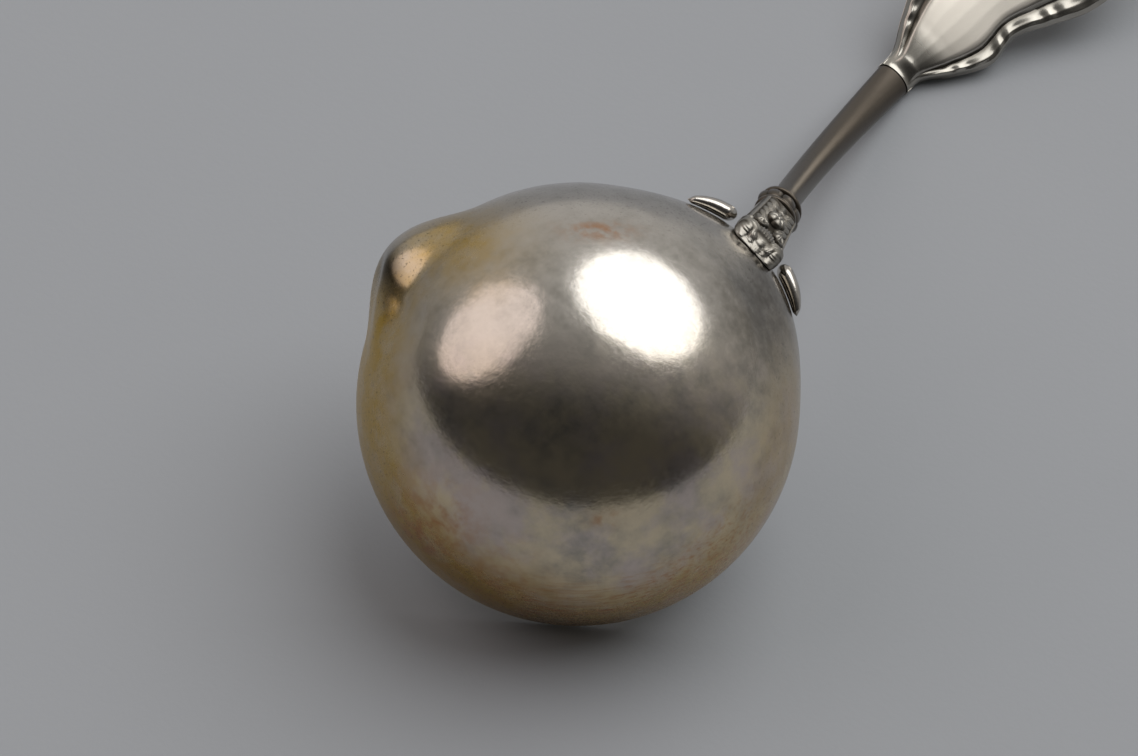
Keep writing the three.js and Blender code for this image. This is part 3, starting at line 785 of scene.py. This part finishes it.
def bowl_silver_tone_and_painted_reflection(finish):
    """Sterling silver, raised and polished, then handled and left to tone. It mirrors the room
    softly: gray on top, beige below, gold to brown at the left and lower edges, with dark stains. One
    flank of the pouring lip has a painted dark reflection in the dark colour."""
    material, add = empty_material("toned_sterling_with_painted_reflection")
    mark = {
        name: add("Attribute", {}, "Fac", attribute_name=name)
        for name in ("golden", "brown", "edge", "warm", "low", "dull", "painted_dark_reflection")}
    cloud = grains(add, 5, 0.3, 0.7)
    grain = grains(add, 0.5, 0.35, 0.7)
    smudges = add("Math", {
        0: mark["dull"], 1: 1.0, 2: grains(add, 9, 0.38, 0.62, 0.05, 0.85)}, operation="MULTIPLY_ADD")
    colour = layered(add, finish.clean, [
        (mark["warm"], 1, finish.beige),
        (mark["warm"], grains(add, 6.5, 0.45, 0.6, 0, 0.6, 6), finish.lilac),
        (smudges, grains(add, 1.8, 0.36, 0.68, 0.2, 1, 8), finish.veiled),
        (mark["golden"], grains(add, 3, 0.35, 0.65, 0.7, 1.25, 7), finish.golden),
        (mark["brown"], grains(add, 1.7, 0.44, 0.62, 0.15, 1, 8), finish.brown),
        (mark["low"], streaks(add, RIGHT, 0.45, 6, 0.48, 0.66), finish.brown),
        (mark["dull"], grains(add, 1.2, 0.35, 0.65, 0.45, 0.8, 8), finish.smoky),
        (mark["edge"], grains(add, 0.28, 0.6, 0.72, 0, 0.8, 2), finish.dark),
        # Painted dark reflection: the lip's flank is coloured dark where it mirrors the dark room
        (mark["painted_dark_reflection"], 1, finish.dark)])
    rubbed = add("Math", {
        0: streaks(add, (0.3, 0.8, 0.5), 0.05, 4, 0.6, 0.75),
        1: streaks(add, (0.9, -0.2, 0.3), 0.06, 5, 0.6, 0.75)}, operation="MAXIMUM")
    rough = add("MapRange", {
        "Value": mark["golden"], "To Min": finish.polish, "To Max": finish.polish + 0.13})
    rough = add("Math", {0: grain, 1: 0.06, 2: rough}, operation="MULTIPLY_ADD")
    uneven = add("Bump", {"Height": cloud, "Distance": finish.unevenness, "Strength": 1.0})
    skin = add("Math", {0: grain, 1: 0.5, 2: rubbed}, operation="MULTIPLY_ADD")
    normal = add("Bump", {
        "Height": skin, "Distance": finish.scratch_depth, "Strength": 1.0, "Normal": uneven})
    silver_surface(add, colour, rough, normal)
    return material


def cast_silver(name, finish, light, polish, skin_size):
    """Cast silver: bright where fingers rub it, dark sulphide left in the hollows, and a fine
    sandy skin from the mould."""
    material, add = empty_material(name)
    hollow = add("Attribute", {}, "Fac", attribute_name="hollow")
    cloud = grains(add, 1.6, 0.35, 0.65)
    skin = grains(add, skin_size, 0.3, 0.75)
    low = add("Math", {0: hollow, 1: grains(add, 0.7, 0.3, 0.7, 0.65, 1.1)},
              operation="MULTIPLY", use_clamp=True)
    colour = layered(add, light, [(cloud, 0.35, finish.smoky), (low, 1, finish.dark)])
    rough = add("MapRange", {"Value": low, "To Min": polish, "To Max": polish + 0.25})
    height = add("Math", {0: cloud, 1: 0.5, 2: skin}, operation="MULTIPLY_ADD")
    normal = add("Bump", {"Height": height, "Distance": finish.scratch_depth * 3, "Strength": 1.0})
    silver_surface(add, colour, rough, normal)
    return material


def struck_silver(finish):
    """Die-struck silver sheet: a satin panel that glows pale where it faces the light, and a gray
    polished border with dark lines along the scrolls."""
    material, add = empty_material("struck_silver_shell")
    panel = add("Attribute", {}, "Fac", attribute_name="panel")
    hollow = add("Attribute", {}, "Fac", attribute_name="hollow")
    cloud = grains(add, 4, 0.3, 0.7)
    colour = layered(add, finish.border, [
        (cloud, 1, finish.veiled), (panel, 1, finish.panel), (hollow, 0.7, finish.dark)])
    rough = add("MapRange", {"Value": panel, "To Min": 0.24, "To Max": finish.satin})
    rubbed = streaks(add, (0.1, 0.9, 0.2), 0.08, 6, 0.55, 0.75)
    height = add("Math", {0: rubbed, 1: cloud}, operation="MAXIMUM")
    normal = add("Bump", {"Height": height, "Distance": finish.scratch_depth * 2, "Strength": 1.0})
    silver_surface(add, colour, rough, normal)
    return material


def paper_floor(colour):
    """Smooth matt paper: one pale cool gray with a faint unevenness and a fine grain."""
    material, add = empty_material("studio_paper")
    cloud = grains(add, 70, 0.3, 0.7, 0, 0.3, 3)
    shade = layered(add, colour, [(cloud, 1, linear("#979a9e"))])
    skin = grains(add, 0.9, 0.3, 0.7)
    normal = add("Bump", {"Height": skin, "Distance": 0.01 * MM, "Strength": 1.0})
    shader = add("BsdfPrincipled", {"Base Color": shade, "Roughness": 0.85, "Normal": normal})
    add("OutputMaterial", {"Surface": shader})
    return material


# Stage

def placed(data, right, up, towards, place):
    """A lamp or camera in the scene at a place in metres. It looks back along towards."""
    matrix = np.eye(4)
    matrix[:3] = np.column_stack([right, up, towards, place])
    item = bpy.data.objects.new(data.name, data)
    item.matrix_world = Matrix(matrix.tolist())
    bpy.context.scene.collection.objects.link(item)
    return item


def lamp(name, azimuth, elevation, spin, size, colour, glow):
    """An oval lamp that looks at the rim's middle. Its power follows from the radiance that
    its face shall have: the power over pi times its area."""
    azimuth, elevation, spin = np.radians([azimuth, elevation, spin])
    direction = np.array([
        np.cos(elevation) * np.cos(azimuth), np.cos(elevation) * np.sin(azimuth), np.sin(elevation)])
    across = unit(np.cross((0, 0, 1), direction))
    right = np.cos(spin) * across + np.sin(spin) * np.cross(direction, across)
    data = bpy.data.lights.new(name, "AREA")
    data.shape = "ELLIPSE"
    data.size = size[0] * LAMP_AWAY
    data.size_y = size[1] * LAMP_AWAY
    data.energy = glow * np.pi * (np.pi / 4 * data.size * data.size_y)
    data.color = colour
    place = RIM_MIDDLE * MM + direction * LAMP_AWAY
    placed(data, right, np.cross(direction, right), direction, place)


def room(stage):
    """The room round the table: light on the far side, dark behind the camera. Its glow rises
    smoothly with how far a direction points to the far side."""
    world = bpy.data.worlds.new("studio_room")
    world.use_nodes = True
    world.node_tree.nodes.clear()
    add = node_adder(world.node_tree)
    level = np.array([1, 1, 0])
    far = unit(unit(-TOWARDS * level) + ROOM_RIGHT * RIGHT * level + np.array([0, 0, ROOM_RISE]))
    direction = add("TexCoord", {}, "Generated")
    facing = add("VectorMath", {0: direction, 1: tuple(far)}, "Value", operation="DOT_PRODUCT")
    glow = add("MapRange", {
        "Value": facing, "From Min": ROOM_DARK_TO, "From Max": 1.0,
        "To Min": stage.room_dark, "To Max": stage.room_glow}, interpolation_type="SMOOTHSTEP")
    background = add("Background", {"Color": (*ROOM_COLOUR, 1), "Strength": glow})
    add("OutputWorld", {"Surface": background})
    bpy.context.scene.world = world


def camera():
    """The camera, from the rim's middle, its pixel in the picture, and the picture's scale there."""
    data = bpy.data.cameras.new("picture_camera")
    data.sensor_fit = "HORIZONTAL"
    data.sensor_width = SENSOR_WIDTH
    data.lens = PIXELS_PER_MM * CAMERA_AWAY / PICTURE_SIZE[0] * SENSOR_WIDTH
    data.clip_start = 0.02
    right, down = (np.array(RIM_PIXEL) - np.array(PICTURE_SIZE) / 2) / PIXELS_PER_MM
    place = RIM_MIDDLE + CAMERA_AWAY * TOWARDS - right * RIGHT + down * UP
    bpy.context.scene.camera = placed(data, RIGHT, UP, TOWARDS, place * MM)


# Settings

def colour_setting(name, description, hex_colour):
    return bpy.props.FloatVectorProperty(
        name=name, description=description, subtype="COLOR", size=3, min=0, max=1,
        default=linear(hex_colour))


def share_setting(name, description, share):
    return bpy.props.FloatProperty(
        name=name, description=description, subtype="FACTOR", min=0, max=1, default=share)


def length_setting(name, description, millimetres):
    return bpy.props.FloatProperty(
        name=name, description=description, unit="LENGTH", precision=6, min=0,
        default=millimetres * MM)


def glow_setting(name, description, radiance):
    return bpy.props.FloatProperty(name=name, description=description, min=0, default=radiance)


class LadleFinish(bpy.types.PropertyGroup):
    """Colours and depths of the silver's finish"""
    clean: colour_setting("Clean silver", "Polished silver with little tarnish", "#bfbab3")
    beige: colour_setting("Beige silver", "Silver under the first thin warm film", "#dccdb0")
    lilac: colour_setting(
        "Lilac silver", "Silver under a thicker film that shimmers lilac", "#c2b6bc")
    veiled: colour_setting("Veiled silver", "Silver under a thin gray film", "#9b978f")
    golden: colour_setting("Golden tone", "The first tarnish, straw to gold", "#b8984c")
    brown: colour_setting("Brown tone", "The later tarnish", "#b07c50")
    smoky: colour_setting(
        "Smoky tone", "Old tarnish on the stem, the knop, the collars and a dull place of the bowl",
        "#5a534b")
    # The dark colour also paints the dark reflection on one flank of the pouring lip
    dark: colour_setting(
        "Dark sulphide", "What stays in hollows, in small stains and beside the bowl's edge", "#3b352c")
    panel: colour_setting("Panel", "The buffed panel of the handle end", "#efe8dc")
    border: colour_setting("Border", "The border of the handle end", "#b3afa6")
    polish: share_setting("Bowl roughness", "How soft the bowl's reflections are", 0.145)
    satin: share_setting("Panel roughness", "How soft the handle panel's reflections are", 0.42)
    unevenness: length_setting(
        "Hammer unevenness", "How deep the bowl's faint unevenness is", 0.022)
    scratch_depth: length_setting("Scratch depth", "How deep the fine rubbing marks are", 0.002)


class LadleSizes(bpy.types.PropertyGroup):
    """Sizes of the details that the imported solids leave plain"""
    rim_rounding: length_setting("Rim rounding", "The rounding of the bowl's filed rim", 0.12)
    solder_gap: length_setting(
        "Solder gap", "How far the castings stand from the bowl's wall", 0.02)
    relief_height: length_setting(
        "Relief height", "How high the relief on the shoulder plate's back stands", 0.42)
    leaf_groove: share_setting(
        "Leaf groove", "Depth of the groove as a share of the leaf's thickness", 0.11)
    scroll_height: length_setting(
        "Border scrolls", "How deep the border's scrolls are struck", 0.2)
    knop_lobe_depth: length_setting(
        "Knop lobes", "How deep the cuts between the knop's lobes are", 0.32)


class LadleStage(bpy.types.PropertyGroup):
    """The floor, the lamps and the room"""
    floor: colour_setting("Floor", "The paper that the ladle lies on", "#9ea1a5")
    window_glow: glow_setting("Window glow", "Radiance of the large lamp at the back right", 2.3)
    fill_glow: glow_setting("Fill glow", "Radiance of the soft lamp at the left", 0.98)
    room_glow: glow_setting("Room glow", "Radiance of the room on its light side", 0.6)
    room_dark: glow_setting("Dark side", "Radiance of the room behind the camera", 0.05)


# Operators

class LADLE_OT_bowl(bpy.types.Operator):
    """Builds the bowl with its pouring lip"""
    bl_idname = "ladle.bowl"
    bl_label = "Bowl"

    def execute(self, context):
        points = bowl_points(context.scene.ladle_sizes.rim_rounding / MM)
        material = bowl_silver_tone_and_painted_reflection(context.scene.ladle_finish)
        make_piece("raised_bowl", ["bowl"], material, points, bowl_marks(points), sharp=60)
        return {"FINISHED"}


class LADLE_OT_shoulder(bpy.types.Operator):
    """Builds the cast shoulder plate with its relief"""
    bl_idname = "ladle.shoulder"
    bl_label = "Shoulder plate"

    def execute(self, context):
        sizes = context.scene.ladle_sizes
        finish = context.scene.ladle_finish
        points, marks = shoulder_points(sizes.relief_height / MM, sizes.solder_gap / MM)
        material = cast_silver("cast_silver_plate", finish, finish.veiled, 0.34, 0.25)
        make_piece("cast_shoulder", ["shoulder_plate"], material, points, marks)
        return {"FINISHED"}


class LADLE_OT_leaves(bpy.types.Operator):
    """Builds the two scroll leaves along the rim"""
    bl_idname = "ladle.leaves"
    bl_label = "Scroll leaves"

    def execute(self, context):
        sizes = context.scene.ladle_sizes
        finish = context.scene.ladle_finish
        material = cast_silver("burnished_cast_leaf", finish, finish.clean, 0.14, 0.2)
        for side, name in ((-1, "left"), (1, "right")):
            points, marks = leaf_points(side, sizes.leaf_groove, sizes.solder_gap / MM)
            make_piece(name + "_leaf", [name + "_scroll_leaf"], material, points, marks)
        return {"FINISHED"}


class LADLE_OT_blossoms(bpy.types.Operator):
    """Builds the fluted petal and the blossoms on the shoulder plate"""
    bl_idname = "ladle.blossoms"
    bl_label = "Blossoms"

    def execute(self, context):
        finish = context.scene.ladle_finish
        material = cast_silver("rubbed_cast_blossom", finish, finish.veiled, 0.32, 0.2)
        for name, node, place, side, cast in (
                ("fluted_petal", "shell_petal", SHELL_PETAL, 0, fluted),
                ("left_volute", "left_blossom", SIDE_BLOSSOM, -1, volute),
                ("right_volute", "right_blossom", SIDE_BLOSSOM, 1, volute),
                ("five_petal_flower", "upper_blossom", UPPER_BLOSSOM, 0, flower)):
            points, marks = blossom_points(place, side, cast)
            make_piece(name, [node], material, points, marks)
        return {"FINISHED"}


class LADLE_OT_knop(bpy.types.Operator):
    """Builds the lobed knop and the two collars beside it"""
    bl_idname = "ladle.knop"
    bl_label = "Knop and collars"

    def execute(self, context):
        finish = context.scene.ladle_finish
        depth = context.scene.ladle_sizes.knop_lobe_depth / MM
        chased = cast_silver("chased_silver_knop", finish, finish.smoky, 0.3, 0.25)
        turned = cast_silver("turned_silver_collar", finish, finish.smoky, 0.28, 0.2)
        points, marks = ring_points(
            KNOP_START, KNOP_LENGTH, KNOP_HALF, KNOP_SQUARENESS, KNOP_SWELL, 192, 0.6, KNOP_LOBES, depth)
        make_piece("lobed_knop", ["knop"], chased, points, marks, endless=True, sharp=50)
        for name, start in (("lower_collar", LOWER_COLLAR_START), ("upper_collar", UPPER_COLLAR_START)):
            points, marks = ring_points(
                start, COLLAR_LENGTH, COLLAR_HALF, COLLAR_SQUARENESS, COLLAR_SWELL, 96, 1)
            make_piece(name + "_bead", [name], turned, points, marks, endless=True, sharp=50)
        return {"FINISHED"}


class LADLE_OT_stem(bpy.types.Operator):
    """Builds the tapering stem with its tang and tongue"""
    bl_idname = "ladle.stem"
    bl_label = "Stem"

    def execute(self, context):
        finish = context.scene.ladle_finish
        points, marks = stem_points()
        material = cast_silver("smoky_silver_stem", finish, finish.smoky, 0.3, 0.35)
        make_piece("tapering_stem", ["stem"], material, points, marks)
        return {"FINISHED"}


class LADLE_OT_handle_end(bpy.types.Operator):
    """Builds the two struck shells of the handle's end"""
    bl_idname = "ladle.handle_end"
    bl_label = "Handle end"

    def execute(self, context):
        material = struck_silver(context.scene.ladle_finish)
        scroll = context.scene.ladle_sizes.scroll_height / MM
        for side, name, crown in ((-1, "back", BACK_CROWN), (1, "front", FRONT_CROWN)):
            points, marks = shell_points(side, crown, scroll)
            make_piece(
                "struck_" + name, ["terminal_" + name], material, points, marks, sharp=50)
        return {"FINISHED"}


class LADLE_OT_stage(bpy.types.Operator):
    """Builds the paper floor, the lamps, the room and the camera"""
    bl_idname = "ladle.stage"
    bl_label = "Stage"

    def execute(self, context):
        stage = context.scene.ladle_stage
        turns = round_turns(128)
        circle = FLOOR_RADIUS * np.stack([np.cos(turns), np.sin(turns), 0 * turns], axis=-1)
        mesh = bpy.data.meshes.new("paper")
        mesh.from_pydata(circle.tolist(), [], [list(range(len(turns)))])
        mesh.materials.append(paper_floor(stage.floor))
        floor = bpy.data.objects.new("paper", mesh)
        context.scene.collection.objects.link(floor)
        lamp("window_lamp", **WINDOW_LAMP, glow=stage.window_glow)
        lamp("fill_lamp", **FILL_LAMP, glow=stage.fill_glow)
        room(stage)
        camera()
        context.scene.view_settings.view_transform = "Standard"
        return {"FINISHED"}


STEPS = [
    LADLE_OT_bowl, LADLE_OT_shoulder, LADLE_OT_leaves, LADLE_OT_blossoms,
    LADLE_OT_knop, LADLE_OT_stem, LADLE_OT_handle_end, LADLE_OT_stage,
]


class LADLE_PT_panel(bpy.types.Panel):
    """Lists the ladle's steps and settings"""
    bl_idname = "LADLE_PT_panel"
    bl_label = "Cream ladle"
    bl_space_type = "VIEW_3D"
    bl_region_type = "UI"
    bl_category = "Ladle"

    def draw(self, context):
        for step in STEPS:
            self.layout.operator(step.bl_idname)
        scene = context.scene
        for settings in (scene.ladle_sizes, scene.ladle_finish, scene.ladle_stage):
            box = self.layout.box()
            for name in settings.bl_rna.properties.keys():
                if name not in ("rna_type", "name"):
                    box.prop(settings, name)


CLASSES = [LadleFinish, LadleSizes, LadleStage, *STEPS, LADLE_PT_panel]


def register():
    for item in CLASSES:
        bpy.utils.register_class(item)
    bpy.types.Scene.ladle_finish = bpy.props.PointerProperty(type=LadleFinish)
    bpy.types.Scene.ladle_sizes = bpy.props.PointerProperty(type=LadleSizes)
    bpy.types.Scene.ladle_stage = bpy.props.PointerProperty(type=LadleStage)


def unregister():
    del bpy.types.Scene.ladle_stage
    del bpy.types.Scene.ladle_sizes
    del bpy.types.Scene.ladle_finish
    for item in reversed(CLASSES):
        bpy.utils.unregister_class(item)


def main():
    register()
    bpy.ops.ladle.bowl()
    bpy.ops.ladle.shoulder()
    bpy.ops.ladle.leaves()
    bpy.ops.ladle.blossoms()
    bpy.ops.ladle.knop()
    bpy.ops.ladle.stem()
    bpy.ops.ladle.handle_end()
    bpy.ops.ladle.stage()


if __name__ == "__main__":
    main()
